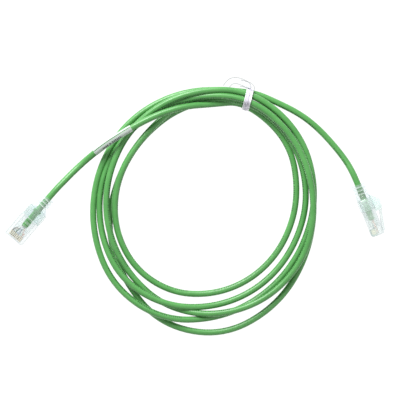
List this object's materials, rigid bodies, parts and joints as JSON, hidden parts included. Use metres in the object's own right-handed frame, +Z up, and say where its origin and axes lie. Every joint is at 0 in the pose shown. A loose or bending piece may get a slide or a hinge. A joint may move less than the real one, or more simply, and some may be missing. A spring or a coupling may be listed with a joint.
{
  "type": "ethernet patch cable",
  "caption": "Coiled slim network patch cable with a clear modular latch plug and a clear moulded boot at each end, held by a twist tie.",
  "frame": {"origin": "on the ground, below the middle of the box round the two plugs with their boots", "axes": "+X from the plug lying contacts up to the plug lying on its side, +Y away from the plugs' noses, +Z up"},
  "size_m": [0.2139, 0.1477, 0.0125],
  "materials": {
    "clear_polycarbonate": "clear moulded polycarbonate",
    "gold_plated_contact": "gold-plated blades",
    "clear_boot": "clear soft vinyl, faint blue-green",
    "cable_jacket": "satin green vinyl jacket",
    "label_film": null,
    "tie_film": "translucent film of a twist tie",
    "tie_steel": "thin wire",
    "wire_white_orange": "coloured conductor insulation",
    "wire_orange": "coloured conductor insulation",
    "wire_white_green": "coloured conductor insulation",
    "wire_blue": "coloured conductor insulation",
    "wire_white_blue": "coloured conductor insulation",
    "wire_green": "coloured conductor insulation",
    "wire_white_brown": "coloured conductor insulation",
    "wire_brown": "coloured conductor insulation"
  },
  "bodies": {
    "cable": {"plug_a_housing": "clear_polycarbonate", "plug_a_contacts": "gold_plated_contact", "plug_a_boot": "clear_boot", "jacket_end_a": "cable_jacket", "plug_a_wire_white_orange": "wire_white_orange", "plug_a_wire_orange": "wire_orange", "plug_a_wire_white_green": "wire_white_green", "plug_a_wire_blue": "wire_blue", "plug_a_wire_white_blue": "wire_white_blue", "plug_a_wire_green": "wire_green", "plug_a_wire_white_brown": "wire_white_brown", "plug_a_wire_brown": "wire_brown", "plug_b_housing": "clear_polycarbonate", "plug_b_contacts": "gold_plated_contact", "plug_b_boot": "clear_boot", "jacket_end_b": "cable_jacket", "plug_b_wire_white_orange": "wire_white_orange", "plug_b_wire_orange": "wire_orange", "plug_b_wire_white_green": "wire_white_green", "plug_b_wire_blue": "wire_blue", "plug_b_wire_white_blue": "wire_white_blue", "plug_b_wire_green": "wire_green", "plug_b_wire_white_brown": "wire_white_brown", "plug_b_wire_brown": "wire_brown", "cable_tail_a": "cable_jacket", "cable_coil": "cable_jacket", "cable_tail_b": "cable_jacket", "label_wrap": "label_film", "tie_ribbon": "tie_film", "tie_wire": "tie_steel"},
    "latch_a": {"plug_a_latch": "clear_polycarbonate"},
    "latch_b": {"plug_b_latch": "clear_polycarbonate"}
  },
  "joints": [
    {"name": "latch_a_press", "type": "hinge", "parent": "cable", "child": "latch_a", "pos_m": [-0.10155, -0.01278, 0.00405], "axis": [0.7581, -0.6521, 0], "range_deg": [0, 8], "stiffness_Nm_per_rad": 0.5},
    {"name": "latch_b_press", "type": "hinge", "parent": "cable", "child": "latch_b", "pos_m": [0.10627, -0.0087, 0.00595], "axis": [0, 0, 1], "range_deg": [0, 8], "stiffness_Nm_per_rad": 0.5}
  ]
}
